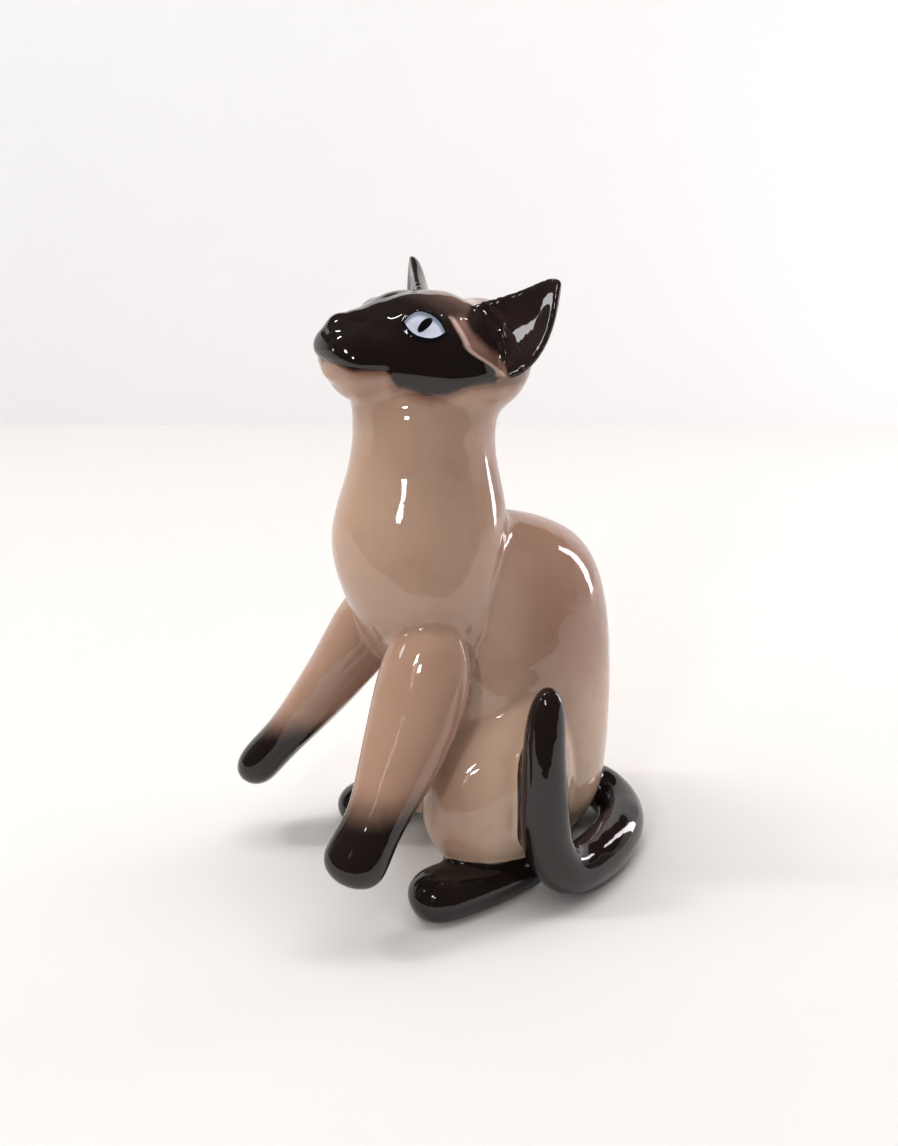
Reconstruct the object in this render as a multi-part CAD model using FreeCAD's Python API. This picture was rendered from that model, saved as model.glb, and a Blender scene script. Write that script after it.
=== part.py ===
"""A hollow slip-cast porcelain cat, sitting up with both forepaws lifted.

Frame: +Z up, +X the cat's left, the cat faces -Y. The origin is on the standing plane,
in the middle of the body's flat base. Sizes are in millimetres.

The figure is cast in plaster moulds: a hollow body, a hollow head, and solid ears, forelegs,
hind feet and tail. They are luted together with thin layers of slip before firing. Each
casting is one solid, and so is the slip of each joint. Every joint is a flat cut with a
slip layer of thickness SLIP between its faces, and what else touches meets face to face.
"""
import FreeCAD, Part
import math
import os

V = FreeCAD.Vector
UP = V(0, 0, 1)
LEFT = V(1, 0, 0)

# Overall sizes of the figure: ear tips to standing plane, across, and paws to rump
FIGURE_HEIGHT = 119.3
FIGURE_WIDTH = 61.6
FIGURE_LENGTH = 78.4

# Castings and joints
WALL = 3.0               # wall of the hollow body and head
BASE_WALL = 4.0          # floor of the body casting
SLIP = 0.4               # slip layer in each luted joint
POUR_HOLE_D = 9.0        # drain hole in the base of the body
TAIL_D = 10.0            # tail where it lies on the table
EAR_THICKNESS = 3.2      # ear half way up
EAR_CUP = 3.2            # depth of the hollow in the front of the ear

# The two sides of the figure differ a little
HIP_SHIFT = 2.25         # haunches and hind feet lie this much to the cat's left
LEFT_FOOT_LEAD = 1.1     # left hind foot is this much further forward, and the right one back
PAW_LEAD = 0.75          # right forepaw is this much further forward, and the left one back
PAW_DROP = 0.4           # right forepaw hangs this much lower, and the left one higher
EAR_LEAD = 0.85          # right ear sits this much further forward, and the left one back

# Figure that the tables below are drawn for
DRAWN_HEIGHT = 119.3
DRAWN_WIDTH = 61.6
DRAWN_LENGTH = 78.4
SX = FIGURE_WIDTH / DRAWN_WIDTH
SY = FIGURE_LENGTH / DRAWN_LENGTH
SZ = FIGURE_HEIGHT / DRAWN_HEIGHT

# Where the castings are cut
NECK_SEAM = (0.0, -16.0, 90.0)
FORELEG_SEAM = (14.0, -25.2, 42.8)
FOOT_SEAM_Y = -13.5
TAIL_SEAM = (12.0, 26.0, 5.0)
POUR_HOLE = (0.0, 9.0, 0.0)
EAR_SEAM_SHARE = 0.2     # of the ear's length, from its root in the skull

# Limb stations: x, y, z of the centre, half width, half height on each side of it
TORSO = [
    (0, 3.0, -3.0, 15, 17, 17),
    (0, 3.0, 4.0, 19, 21.5, 19),
    (0, 3.0, 16.0, 20.5, 23, 20),
    (0, 1.5, 30.0, 20.5, 25.2, 20),
    (0, 0.0, 44.0, 19, 26.5, 20),
    (0, -2.0, 57.0, 17, 25.5, 18),
    (0, -3.5, 67.5, 13, 19, 14),
    (0, -3.0, 72.5, 9, 11, 9),
]
CHEST = [
    (0, -10.0, 34.0, 9, 9, 8),
    (0, -13.0, 46.0, 13.5, 10, 12),
    (0, -15.5, 58.0, 16.0, 14, 15.5),
    (0, -17.0, 71.0, 15.8, 18, 18.6),
    (0, -16.5, 80.5, 13, 16, 14.5),
    (0, -16.0, 89.0, 11.5, 13.5, 12.8),
    (0, -15.5, 98.0, 12.5, 15, 14.5),
    (0, -13.0, 106.0, 10, 10, 10),
]
HAUNCH = [
    (10.0, 12.0, 16.0, 6, 14, 10),
    (11.0, 4.0, 17.0, 9.6, 24, 17),
    (11.8, -5.0, 17.5, 11.2, 26.5, 17.5),
    (12.6, -12.5, 19.0, 11.0, 23.5, 16),
    (13.0, -18.8, 23.0, 8.8, 14.5, 11),
    (12.8, -22.8, 25.0, 5.5, 7, 6),
]
HIND_FOOT = [
    (18.0, 3.0, 2.6, 3.0, 2.4, 3),
    (18.3, -4.0, 3.2, 4.8, 3.6, 4.5),
    (18.3, -13.0, 3.4, 6.0, 4.6, 4.8),
    (18.3, -21.0, 3.8, 6.6, 5.2, 5.2),
    (18.1, -27.0, 3.8, 6.0, 4.6, 5.0),
    (17.8, -29.4, 3.5, 4.4, 3.2, 4.2),
]
FORELEG = [
    (8.0, -19.0, 59.0, 7, 7, 7),
    (11.0, -20.5, 51.0, 9, 8, 8),
    (14.4, -25.9, 40.5, 8.8, 6.4, 6.4),
    (17.9, -33.0, 30.0, 7.0, 5.2, 5.2),
    (20.2, -38.3, 23.3, 5.2, 4.2, 4.2),
    (21.6, -42.4, 19.0, 6.1, 4.4, 4.4),
    (22.4, -45.0, 15.5, 5.7, 4.0, 4.0),
    (22.6, -46.0, 14.0, 4.2, 3.2, 3.2),
]
HEAD = [
    (0, 5.0, 101.5, 8, 7, 8),
    (0, 0.5, 102.5, 12.5, 10, 10.5),
    (0, -7.0, 103.8, 15, 10.6, 12),
    (0, -14.0, 104.8, 14.8, 11.0, 12),
    (0, -20.5, 105.8, 12.5, 10.2, 10.5),
    (0, -26.5, 106.2, 9.5, 7.6, 9.2),
    (0, -31.5, 105.6, 7.6, 6.2, 8.2),
    (0, -34.3, 105.2, 6.6, 5.2, 7.0),
    (0, -35.6, 104.6, 4.8, 4.0, 5.2),
]
FORELEG_ACROSS = V(0.5, 0.866, 0)      # the forelegs are widest this way, outwards and back

# Tail: x, y and share of TAIL_D where it lies, then x, y, z and share where it stands up
TAIL_LYING = [
    (10.0, 25.4, 1.0),
    (17.6, 22.9, 1.0),
    (24.2, 15.4, 1.02),
    (28.4, 5.6, 1.04),
]
TAIL_RISING = [
    (30.2, -2.0, 6.2, 1.05),
    (29.0, -5.7, 13.0, 1.03),
    (28.2, -5.7, 22.5, 0.95),
    (27.4, -5.7, 34.5, 0.8),
    (26.9, -4.7, 42.0, 0.72),
    (26.9, -4.5, 45.8, 0.6),
]
TAIL_ROOT = [(1.0, 16.0, 8.0, 1.0), (4.0, 23.5, 7.0, 1.0)]

# Ear: corners of its root on the skull, its tip, and its sections from root to tip as
# share of its length, share of the root's width, shift of the middle across, taper of thickness
EAR_FRONT_CORNER = (7.5, -11.5, 114.5)
EAR_BACK_CORNER = (16.7, -9.3, 101.3)
EAR_TIP = (24.6, -4.1, 118.8)
EAR_SECTIONS = [
    (-0.25, 0.55, 0.0, 0.6),
    (0.0, 1.0, 0.02, 1.3),
    (0.3, 0.85, 0.10, 1.15),
    (0.6, 0.62, 0.10, 1.0),
    (0.85, 0.32, 0.02, 0.85),
    (0.98, 0.1, -0.03, 0.5),
]

# Control nets
RING = 12                # control points round a limb
DEGREE = 3
END_RING = 0.55          # control ring at a rounded end, as a share of the end's section
HULL = 3.0 / (2.0 + math.cos(2.0 * math.pi / RING))   # control ring over surface radius
SPACE = 400.0            # side of the boxes that cut at a plane


def place(point):
    """A point of the tables, at the size of this figure."""
    x, y, z = point
    return V(x * SX, y * SY, z * SZ)


def stretch(direction):
    """How much a length along a unit direction grows from the tables to this figure."""
    return V(direction.x * SX, direction.y * SY, direction.z * SZ).Length


def ring(centre, across, up, wide, high, low, cup=0.0):
    """A control ring round a section. A cup bends its middle away from up."""
    points = []
    for i in range(RING):
        angle = 2.0 * math.pi * (i + 0.5) / RING
        s = math.cos(angle)
        u = math.sin(angle)
        height = u * (high if u > 0 else low) * HULL - cup * (1.0 - s * s)
        points.append(centre + across * (s * wide * HULL) + up * height)
    return points


def blob(start, rings, end):
    """A closed smooth solid through control rings, from the point start to the point end.

    It has two half skins, so no face meets itself where a limb or an ear is joined on.
    """
    rows = [[start] * RING] + rings + [[end] * RING]
    spans = len(rows) - DEGREE
    surface = Part.BSplineSurface()
    surface.buildFromPolesMultsKnots(
        [[row[i] for row in rows] for i in range(RING)],
        [1] * (RING + 1),
        [DEGREE + 1] + [1] * (spans - 1) + [DEGREE + 1],
        list(range(RING + 1)),
        list(range(spans + 1)),
        True, False, DEGREE, DEGREE)
    halves = []
    half_turn = RING // 2
    for first in (0, half_turn):
        half = surface.copy()
        half.segment(first, first + half_turn, 0, spans)
        halves.append(half.toShape())
    shell = Part.Shell(halves)
    shell.sewShape()
    solid = Part.Solid(shell)
    return solid if solid.Volume > 0 else solid.reversed()


def limb(stations, across=LEFT, inset=0.0):
    """A rounded limb along stations, or the hollow that lies inset below its surface."""
    centres = [place(station[:3]) for station in stations]
    last = len(stations) - 1
    rings = []
    for i, station in enumerate(stations):
        along = (centres[min(i + 1, last)] - centres[max(i - 1, 0)]).normalize()
        side = (across - along * across.dot(along)).normalize()
        up = along.cross(side)
        wide = station[3] * stretch(side) - inset
        high = station[4] * stretch(up) - inset
        low = station[5] * stretch(up) - inset
        share = 1.0
        if i == 0:
            centres[0] = centres[0] + along * inset
            share = END_RING
        if i == last:
            centres[last] = centres[last] - along * inset
            share = END_RING
        rings.append(ring(centres[i], side, up, share * wide, share * high, share * low))
    return blob(centres[0], rings, centres[last])


def moved(stations, shift, end_shift=(0.0, 0.0, 0.0)):
    """Stations moved by shift, and by end_shift more at the far end."""
    result = []
    for i, station in enumerate(stations):
        share = i / (len(stations) - 1)
        centre = [station[k] + shift[k] + share * end_shift[k] for k in range(3)]
        result.append((*centre, *station[3:]))
    return result


def on_side(side, left_form):
    """A form drawn for the cat's left, on that side or mirrored to the right."""
    return left_form if side > 0 else left_form.mirror(V(0, 0, 0), LEFT)


def tail_form():
    """The round tail, with its rings carried along the path without a twist."""
    lying = [(x, y, 0.5 * TAIL_D * share / SZ, share) for x, y, share in TAIL_LYING]
    stations = TAIL_ROOT + lying + TAIL_RISING
    centres = [place(station[:3]) for station in stations]
    last = len(stations) - 1
    side = UP
    rings = []
    for i, station in enumerate(stations):
        along = (centres[min(i + 1, last)] - centres[max(i - 1, 0)]).normalize()
        side = (side - along * side.dot(along)).normalize()
        radius = 0.5 * TAIL_D * station[3] * (END_RING if i in (0, last) else 1.0)
        rings.append(ring(centres[i], side, along.cross(side), radius, radius, radius))
    return blob(centres[0], rings, centres[last]).common(beyond(V(0, 0, 0), UP))


def ear_points(side):
    """Front and back corner of an ear's root, and its tip, as drawn for the left."""
    points = (EAR_FRONT_CORNER, EAR_BACK_CORNER, EAR_TIP)
    return [place((x, y + side * EAR_LEAD, z)) for x, y, z in points]


def ear_form(side):
    """An ear: a pointed leaf with a cupped front, rooted in the skull."""
    front_corner, back_corner, tip = ear_points(side)
    root = (front_corner + back_corner) * 0.5
    reach = tip - root
    along = V(reach).normalize()
    across = back_corner - front_corner
    half = 0.5 * across.Length
    across = (across - along * across.dot(along)).normalize()
    front = across.cross(along)
    centres = []
    rings = []
    for share, width, shift, taper in EAR_SECTIONS:
        centre = root + reach * share + across * (shift * reach.Length)
        thick = 0.5 * EAR_THICKNESS * taper
        centres.append(centre)
        rings.append(ring(centre, across, front, half * width, thick, thick, EAR_CUP * width))
    return on_side(side, blob(centres[0], rings, tip))


def beyond(point, normal, start=0.0):
    """All space past the plane through point, from start along its normal."""
    space = Part.makeBox(SPACE, SPACE, SPACE, V(-0.5 * SPACE, -0.5 * SPACE, start))
    space.Placement = FreeCAD.Placement(point, FreeCAD.Rotation(UP, normal))
    return space


def layer(point, normal):
    """The space between the two faces of a joint: SLIP thick, from point along normal."""
    space = Part.makeBox(SPACE, SPACE, SLIP, V(-0.5 * SPACE, -0.5 * SPACE, 0.0))
    space.Placement = FreeCAD.Placement(point, FreeCAD.Rotation(UP, normal))
    return space


def joint_pieces(form, point, normal):
    """A limb cut at its joint: the root behind it, the slip in it and the casting past it."""
    root = form.cut(beyond(point, normal))
    slip = form.common(layer(point, normal))
    casting = form.common(beyond(point, normal, SLIP))
    return root, slip, casting


def haunch_form(side, inset=0.0):
    """A haunch with its folded knee, or its hollow."""
    return on_side(side, limb(moved(HAUNCH, (side * HIP_SHIFT, 0, 0)), LEFT, inset))


def foot_form(side):
    """A hind foot, from its heel under the haunch to its toes, flat underneath."""
    stations = moved(HIND_FOOT, (side * HIP_SHIFT, -side * LEFT_FOOT_LEAD, 0))
    return on_side(side, limb(stations).common(beyond(V(0, 0, 0), UP)))


def foreleg_form(side):
    """A lifted foreleg, from the shoulder to the paw."""
    stations = moved(FORELEG, (0, 0, 0), (0, side * PAW_LEAD, side * PAW_DROP))
    return on_side(side, limb(stations, FORELEG_ACROSS))


def foreleg_joint(side):
    """Point and direction of a foreleg's joint, square to the leg."""
    point = place(FORELEG_SEAM)
    along = (place(FORELEG[4][:3]) - place(FORELEG[1][:3])).normalize()
    return V(side * point.x, point.y, point.z), V(side * along.x, along.y, along.z)


def ear_joint(side):
    """Point and direction of an ear's joint, square to the ear and just off the skull."""
    front_corner, back_corner, tip = ear_points(side)
    root = (front_corner + back_corner) * 0.5
    reach = tip - root
    point = root + reach * EAR_SEAM_SHARE
    return V(side * point.x, point.y, point.z), V(side * reach.x, reach.y, reach.z)


def export(name, shape):
    """Write one piece, which is one solid."""
    for solid in shape.Solids:
        print(name, "volume", round(solid.Volume, 1), "valid", solid.isValid())
    shape.Solids[0].exportStep("parts/" + name + ".step")


# Forms of the hollow castings, and the hollows inside them
neck = place(NECK_SEAM)
chest = limb(CHEST)
chest_hollow = limb(CHEST, LEFT, WALL)
above_neck = beyond(neck, UP)
head_form = limb(HEAD).fuse(chest.common(beyond(neck, UP, SLIP)))
head_hollow = limb(HEAD, LEFT, WALL).fuse(chest_hollow.common(above_neck))
body_form = limb(TORSO).fuse(chest.cut(above_neck))
body_hollow = limb(TORSO, LEFT, WALL).fuse(chest_hollow)

# Limbs luted to the body and the ears luted to the head, each as root, slip and casting
body_limbs = {"tail": joint_pieces(tail_form(), place(TAIL_SEAM), LEFT)}
head_limbs = {}
foot_seam = place((0, FOOT_SEAM_Y, 0))
for name, side in (("left", 1.0), ("right", -1.0)):
    body_form = body_form.fuse(haunch_form(side))
    body_hollow = body_hollow.fuse(haunch_form(side, WALL))
    body_limbs[name + "_hind_foot"] = joint_pieces(foot_form(side), foot_seam, V(0, -1, 0))
    body_limbs[name + "_foreleg"] = joint_pieces(foreleg_form(side), *foreleg_joint(side))
    head_limbs[name + "_ear"] = joint_pieces(ear_form(side), *ear_joint(side))
for root, slip, casting in body_limbs.values():
    body_form = body_form.fuse(root)
for root, slip, casting in head_limbs.values():
    head_form = head_form.fuse(root)
body_form = body_form.common(beyond(V(0, 0, 0), UP))

# The castings
pour_hole = Part.makeCylinder(0.5 * POUR_HOLE_D, BASE_WALL, place(POUR_HOLE), UP)
body_hollow = body_hollow.common(beyond(V(0, 0, BASE_WALL), UP))
os.makedirs("parts", exist_ok=True)
export("body_casting", body_form.cut(body_hollow).cut(pour_hole))
export("head_casting", head_form.cut(head_hollow))
export("neck_slip", chest.cut(chest_hollow).common(layer(neck, UP)))
for limbs, form in ((body_limbs, body_form), (head_limbs, head_form)):
    for name, (root, slip, casting) in limbs.items():
        export(name, casting.cut(form))
        export(name + "_slip", slip.cut(form))
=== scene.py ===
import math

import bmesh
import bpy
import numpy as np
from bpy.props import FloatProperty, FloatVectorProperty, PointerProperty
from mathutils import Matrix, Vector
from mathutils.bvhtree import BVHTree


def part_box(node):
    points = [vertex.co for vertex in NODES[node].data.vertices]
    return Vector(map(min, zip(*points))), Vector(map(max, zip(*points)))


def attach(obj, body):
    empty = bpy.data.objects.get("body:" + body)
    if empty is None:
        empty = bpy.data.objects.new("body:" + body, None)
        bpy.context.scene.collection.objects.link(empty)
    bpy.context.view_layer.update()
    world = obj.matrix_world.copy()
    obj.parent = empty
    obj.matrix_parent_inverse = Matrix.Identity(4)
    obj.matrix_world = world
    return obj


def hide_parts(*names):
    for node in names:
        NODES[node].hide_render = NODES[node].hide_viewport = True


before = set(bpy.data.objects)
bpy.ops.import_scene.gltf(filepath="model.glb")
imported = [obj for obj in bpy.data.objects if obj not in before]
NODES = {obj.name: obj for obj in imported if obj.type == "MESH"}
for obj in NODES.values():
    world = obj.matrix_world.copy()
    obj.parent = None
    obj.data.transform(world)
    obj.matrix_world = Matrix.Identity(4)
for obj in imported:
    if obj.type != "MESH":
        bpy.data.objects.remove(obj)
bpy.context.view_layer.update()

# Glazed ceramic figurine of a seal point cat, sitting up with both forepaws lifted.
#
# The castings of the CAD frame are first run together into one skin of even facets, as
# a glaze runs over leather-hard clay. Its creases are softened, the face is pressed into
# it, and it is cut again at the joints where limbs and ears were luted on. Each piece is
# then painted by position, so the seal colour fades over a joint without a break.

bl_info = {
    "name": "Glazed Cat Figurine",
    "version": (1, 0, 0),
    "blender": (4, 5, 0),
    "location": "View3D > Sidebar > Figurine",
    "description": "Skins, paints and stages a ceramic cat on its CAD frame",
    "category": "Object",
}

MM = 0.001
LIMBS = ["tail"] + [side + limb for side in ("left_", "right_")
                    for limb in ("hind_foot", "foreleg", "ear")]
# Joints half hidden under a knee, which keep their CAD solid inside the skin
WHOLE_JOINTS = ("left_hind_foot", "right_hind_foot")
FORM = {}


# ---- Sizes and colours ------------------------------------------------------------

class FigurineShape(bpy.types.PropertyGroup):
    """How finely the skin is made and how soft the glaze leaves it"""

    facet: FloatProperty(
        name="Facet", description="Side of the skin's even facets",
        default=0.00062, min=0.0003, unit="LENGTH")
    crease: FloatProperty(
        name="Crease radius", description="Radius the glaze leaves in a crease",
        default=0.0030, min=0.0005, unit="LENGTH")
    joint_reach: FloatProperty(
        name="Joint reach", description="How far round a joint the skin is cut",
        default=0.0030, min=0.001, unit="LENGTH")


def colour(name, description, default):
    """A colour that can be set, as linear red, green and blue."""
    return FloatVectorProperty(name=name, description=description, default=default,
                               size=3, min=0, max=1, subtype="COLOR")


class FigurineColours(bpy.types.PropertyGroup):
    """Underglaze colours, with those of the painted shade and the painted highlight, and the
    gloss of the clear glaze
    """

    cream: colour("Cream", "Palest fawn, low on the haunches and chin", (0.56, 0.39, 0.28))
    fawn: colour("Fawn", "Fawn of the chest and back", (0.46, 0.30, 0.215))
    # Tawny also colours the painted shade over the front, the throat and the lip
    tawny: colour("Tawny", "Warm brown where the seal colour thins out", (0.25, 0.125, 0.085))
    brown: colour("Brown", "Brown behind the cheeks and over the crown", (0.21, 0.115, 0.088))
    # Painted shade under the jaw
    jaw_shade: colour("Jaw shade", "Brown shade under the jaw", (0.16, 0.085, 0.06))
    dusk: colour("Dusk", "Thin seal colour where the mask fades out", (0.035, 0.024, 0.02))
    seal: colour("Seal", "Near-black brown of the points", (0.012, 0.0075, 0.007))
    ear: colour("Ear", "Seal colour of the ears", (0.018, 0.011, 0.010))
    ear_root: colour("Ear root", "Brown at the root of the ears", (0.23, 0.125, 0.095))
    # Painted highlight: the pale line where the cheek's ridge catches the light
    ridge: colour("Ridge", "Pale line along the ridge of the cheek", (0.62, 0.42, 0.36))
    iris: colour("Iris", "Pale blue of the eyes", (0.60, 0.62, 0.74))
    # Painted shade that the upper eyelid casts on the eyeball
    lid: colour("Lid shade", "Grey blue under the upper eyelid", (0.16, 0.19, 0.25))
    ink: colour("Ink", "Black of the pupils and round the eyes", (0.004, 0.004, 0.005))
    bisque: colour("Bisque", "Bare fired clay under the base", (0.72, 0.66, 0.56))
    gloss: FloatProperty(
        name="Glaze roughness", description="Roughness of the clear glaze",
        default=0.035, min=0.0, max=1.0, subtype="FACTOR")


class FigurineStage(bpy.types.PropertyGroup):
    """Floor, wall and studio light"""

    floor: colour("Floor", "Pale floor", (0.60, 0.58, 0.565))
    wall: colour("Wall", "Pale wall behind the figure", (0.90, 0.90, 0.905))
    cloth: colour("Cloth", "Dark cloth that only the glaze sees", (0.02, 0.02, 0.02))
    room: FloatProperty(
        name="Room light", description="Brightness of the dim room all round",
        default=0.10, min=0.0)
    lamp: FloatProperty(
        name="Soft lamp", description="Strength of the soft light from above",
        default=2.6, min=0.0)
    window: FloatProperty(
        name="Window", description="Power of the tall window behind and to the right",
        default=0.9, min=0.0, unit="POWER")
    lamps: FloatProperty(
        name="Small lamps", description="Power of each small lamp that glints in the glaze",
        default=1.6, min=0.0, unit="POWER")
    glint: FloatProperty(
        name="Glint", description="Brightness of the small panels that only the glaze sees",
        default=40.0, min=0.0)


# ---- The skin ---------------------------------------------------------------------

def gathered_tree():
    """All castings as one search tree over their facets."""
    gathered = bmesh.new()
    for node in NODES.values():
        gathered.from_mesh(node.data)
    tree = BVHTree.FromBMesh(gathered)
    gathered.free()
    return tree


def whole_form(facet):
    """All castings and joints as one closed skin of even facets."""
    gathered = bmesh.new()
    for node in NODES.values():
        casting = bmesh.new()
        casting.from_mesh(node.data)
        bmesh.ops.remove_doubles(casting, verts=casting.verts, dist=1e-7)
        merged = bpy.data.meshes.new("merged_casting")
        casting.to_mesh(merged)
        casting.free()
        gathered.from_mesh(merged)
        bpy.data.meshes.remove(merged)
    mesh = bpy.data.meshes.new("gathered_castings")
    gathered.to_mesh(mesh)
    gathered.free()
    form = bpy.data.objects.new("gathered_castings", mesh)
    bpy.context.scene.collection.objects.link(form)
    remesh = form.modifiers.new("even_facets", "REMESH")
    remesh.mode = "VOXEL"
    remesh.voxel_size = facet
    depsgraph = bpy.context.evaluated_depsgraph_get()
    skin = bpy.data.meshes.new_from_object(form.evaluated_get(depsgraph))
    bpy.data.objects.remove(form)
    bpy.data.meshes.remove(mesh)
    return skin


class Sheet:
    """Points of a mesh and their neighbours, for smoothing many times over."""

    def __init__(self, mesh):
        self.mesh = mesh
        count = len(mesh.vertices)
        points = np.empty(count * 3)
        mesh.vertices.foreach_get("co", points)
        self.points = points.reshape(-1, 3)
        ends = np.empty(len(mesh.edges) * 2, dtype=np.int64)
        mesh.edges.foreach_get("vertices", ends)
        self.first, self.second = ends.reshape(-1, 2).T
        self.count = count
        self.degree = np.bincount(ends, minlength=count).astype(float)[:, None]

    def mean(self, values):
        """Mean of the neighbours' values at each point."""
        total = np.empty_like(values)
        for k in range(values.shape[1]):
            total[:, k] = np.bincount(self.first, values[self.second, k], self.count)
            total[:, k] += np.bincount(self.second, values[self.first, k], self.count)
        return total / self.degree

    def normals(self):
        """Outward normal at each point."""
        self.store()
        normals = np.empty(self.count * 3)
        self.mesh.vertex_normals.foreach_get("vector", normals)
        return normals.reshape(-1, 3)

    def store(self):
        """Write the points back to the mesh."""
        self.mesh.vertices.foreach_set("co", self.points.ravel())
        self.mesh.update()

    def smooth(self, rounds, share=1.0):
        """Take the ripple out without shrinking: one step in, one slightly longer out."""
        for _ in range(rounds):
            for step in (0.5, -0.53):
                drift = self.mean(self.points) - self.points
                self.points += step * share * drift

    def settle(self, tree, reach):
        """Bring points that lie within reach of the castings onto them exactly."""
        for i, point in enumerate(self.points.tolist()):
            hit = tree.find_nearest(point, reach)[0]
            if hit is not None:
                self.points[i] = hit

    def fill_creases(self, radius, rounds):
        """Let glaze run into creases tighter than radius, which is one for each point."""
        length = np.linalg.norm(self.points[self.first] - self.points[self.second], axis=1)
        slack = float(np.mean(length)) ** 2 / (4.0 * radius)
        for turn in range(rounds):
            if turn % 5 == 0:
                normals = self.normals()
            height = ((self.mean(self.points) - self.points) * normals).sum(1)
            lift = 0.5 * np.maximum(height - slack, 0.0)
            self.points += normals * lift[:, None]


def press(points, centre, radii, push):
    """Push the clay near centre, fading to nothing at radii, on both sides of the face."""
    for side in (1.0, -1.0) if centre[0] else (1.0,):
        turn = np.array([side, 1.0, 1.0])
        offset = points * turn - np.array(centre) * MM
        away = ((offset / (np.array(radii) * MM)) ** 2).sum(1)
        fall = np.clip(1.0 - away, 0.0, 1.0) ** 2
        points += fall[:, None] * (np.array(push) * MM * turn)


def press_line(points, path, radius, push):
    """Push the clay along a line of points, fading to nothing at radius, on both sides."""
    for side in (1.0, -1.0):
        turn = np.array([side, 1.0, 1.0])
        mirrored = points * turn
        nearest = np.full(len(points), 1.0)
        for start, end in zip(path, path[1:]):
            start, end = np.array(start) * MM, np.array(end) * MM
            run = end - start
            share = np.clip((mirrored - start) @ run / (run @ run), 0.0, 1.0)
            gap = np.linalg.norm(mirrored - start - share[:, None] * run, axis=1)
            nearest = np.minimum(nearest, gap)
        fall = np.clip(1.0 - (nearest / (radius * MM)) ** 2, 0.0, 1.0) ** 2
        points += fall[:, None] * (np.array(push) * MM * turn)


# The head and ears are made twice as fine, in millimetres
FINE_LOW, FINE_HIGH = (-27.0, -40.0, 94.0), (27.0, 4.0, 120.0)
SKULL_MIDDLE, SKULL_HOLLOW = (0.0, -15.0, 104.0), 14.0

# Each press: centre, radii and push, for the cat's left; the right is its mirror
FACE = (
    # brows and eyeballs stand proud, with a hollow before each
    ((8.0, -22.0, 112.6), (4.6, 5.0, 4.4), (0.45, -0.30, 0.95)),
    ((3.4, -21.0, 115.2), (3.6, 6.0, 3.0), (0.0, 0.0, 0.45)),
    ((6.6, -27.6, 110.6), (3.2, 3.0, 3.4), (-0.45, 0.15, -0.25)),
    # nose leather and the notch under it, nostrils, and the bridge behind
    ((0.0, -30.8, 111.8), (4.6, 5.0, 3.4), (0.0, 0.0, 0.60)),
    ((0.0, -33.2, 111.4), (4.0, 3.4, 3.4), (0.0, -0.15, 0.85)),
    ((0.0, -35.6, 110.0), (2.8, 1.3, 1.1), (0.0, 0.45, 0.0)),
    ((1.3, -34.9, 110.9), (0.7, 0.9, 0.6), (0.0, 0.25, -0.1)),
    # muzzle pads and chin
    ((3.4, -34.2, 107.4), (3.6, 3.4, 3.2), (0.35, -0.25, 0.0)),
    ((0.0, -34.4, 102.6), (4.4, 3.0, 2.4), (0.0, -0.60, -0.2)),
    # the throat filled below the chin
    ((0.0, -26.0, 97.0), (9.0, 6.0, 6.0), (0.0, -1.1, -0.4)),
    # the clay carried up to the ear's front rim, and the crown lower between the ears
    ((11.4, -12.2, 110.6), (3.6, 3.2, 4.6), (0.55, -0.30, 0.35)),
    ((9.0, -10.4, 113.4), (3.4, 3.0, 2.6), (0.25, -0.15, 0.30)),
    ((3.0, -7.0, 114.4), (7.0, 5.5, 3.4), (0.0, 0.0, -0.75)),
)
CHEEK_RIDGE = ((10.4, -16.4, 113.0), (11.6, -15.6, 110.8), (13.6, -14.6, 107.9),
               (14.6, -12.0, 106.0), (15.0, -9.8, 103.8), (15.6, -8.9, 102.2))
MOUTH = ((0.0, -35.8, 104.9), (4.4, -35.0, 105.2), (6.3, -33.6, 104.6),
         (7.4, -31.8, 104.2), (8.8, -28.0, 103.9))
RIDGE_RADIUS, RIDGE_PUSH = 1.5, (0.55, -0.1, 0.12)
MOUTH_RADIUS, MOUTH_PUSH = 1.0, (-0.18, 0.22, 0.0)

# The eye: its middle, and its long, upward and outward directions
EYE = (9.9, -20.9, 110.9)
EYE_LONG = (0.491, 0.846, -0.205)
EYE_UP = (-0.556, 0.485, 0.675)
EYE_OUT = (0.671, -0.217, 0.709)
EYE_HALF, EYE_ARCH, EYE_BELLY, EYE_TILT = 3.6, 2.5, 1.75, -0.30
EYE_CORNER = 2.6            # 2 would make the corners sharper
EYE_REACH = 6.0             # nothing is raised farther from the middle than this
LID_HEIGHT, LID_AWAY, LID_WIDTH = 0.26, 0.30, 0.42
BALL_HEIGHT, BALL_RUN = 0.22, 1.6
PUPIL_LONG, PUPIL_WIDE, PUPIL_LEAN = 1.75, 0.68, (0.55, 0.83)


def shape_eyes(points):
    """Raise each eyelid as a fine rim round a smooth eyeball."""
    for side in (1.0, -1.0):
        turn = np.array([side, 1.0, 1.0])
        offset = points * turn / MM - np.array(EYE)
        near = (offset ** 2).sum(1) < EYE_REACH ** 2
        long, up = offset[near] @ np.array(EYE_LONG), offset[near] @ np.array(EYE_UP)
        arch = 1.0 - np.abs(long / EYE_HALF) ** EYE_CORNER
        inside = np.minimum(EYE_ARCH * arch + EYE_TILT - up, up + EYE_BELLY * arch - EYE_TILT)
        lid = LID_HEIGHT * np.exp(-((inside + LID_AWAY) / LID_WIDTH) ** 2)
        ball = BALL_HEIGHT * np.clip(inside / BALL_RUN, 0.0, 1.0) ** 0.5
        out = np.array(EYE_OUT) * turn * MM
        points[near] += (lid + ball)[:, None] * out


# Where the glaze runs fuller in creases: height, spread and how much fuller
NECK_CREASE, NAPE_CREASE = (93.0, 7.5, 4.0), (70.0, 8.0, 1.0)
NAPE_FRONT, NAPE_RUN = -14.0, 8.0


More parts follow.
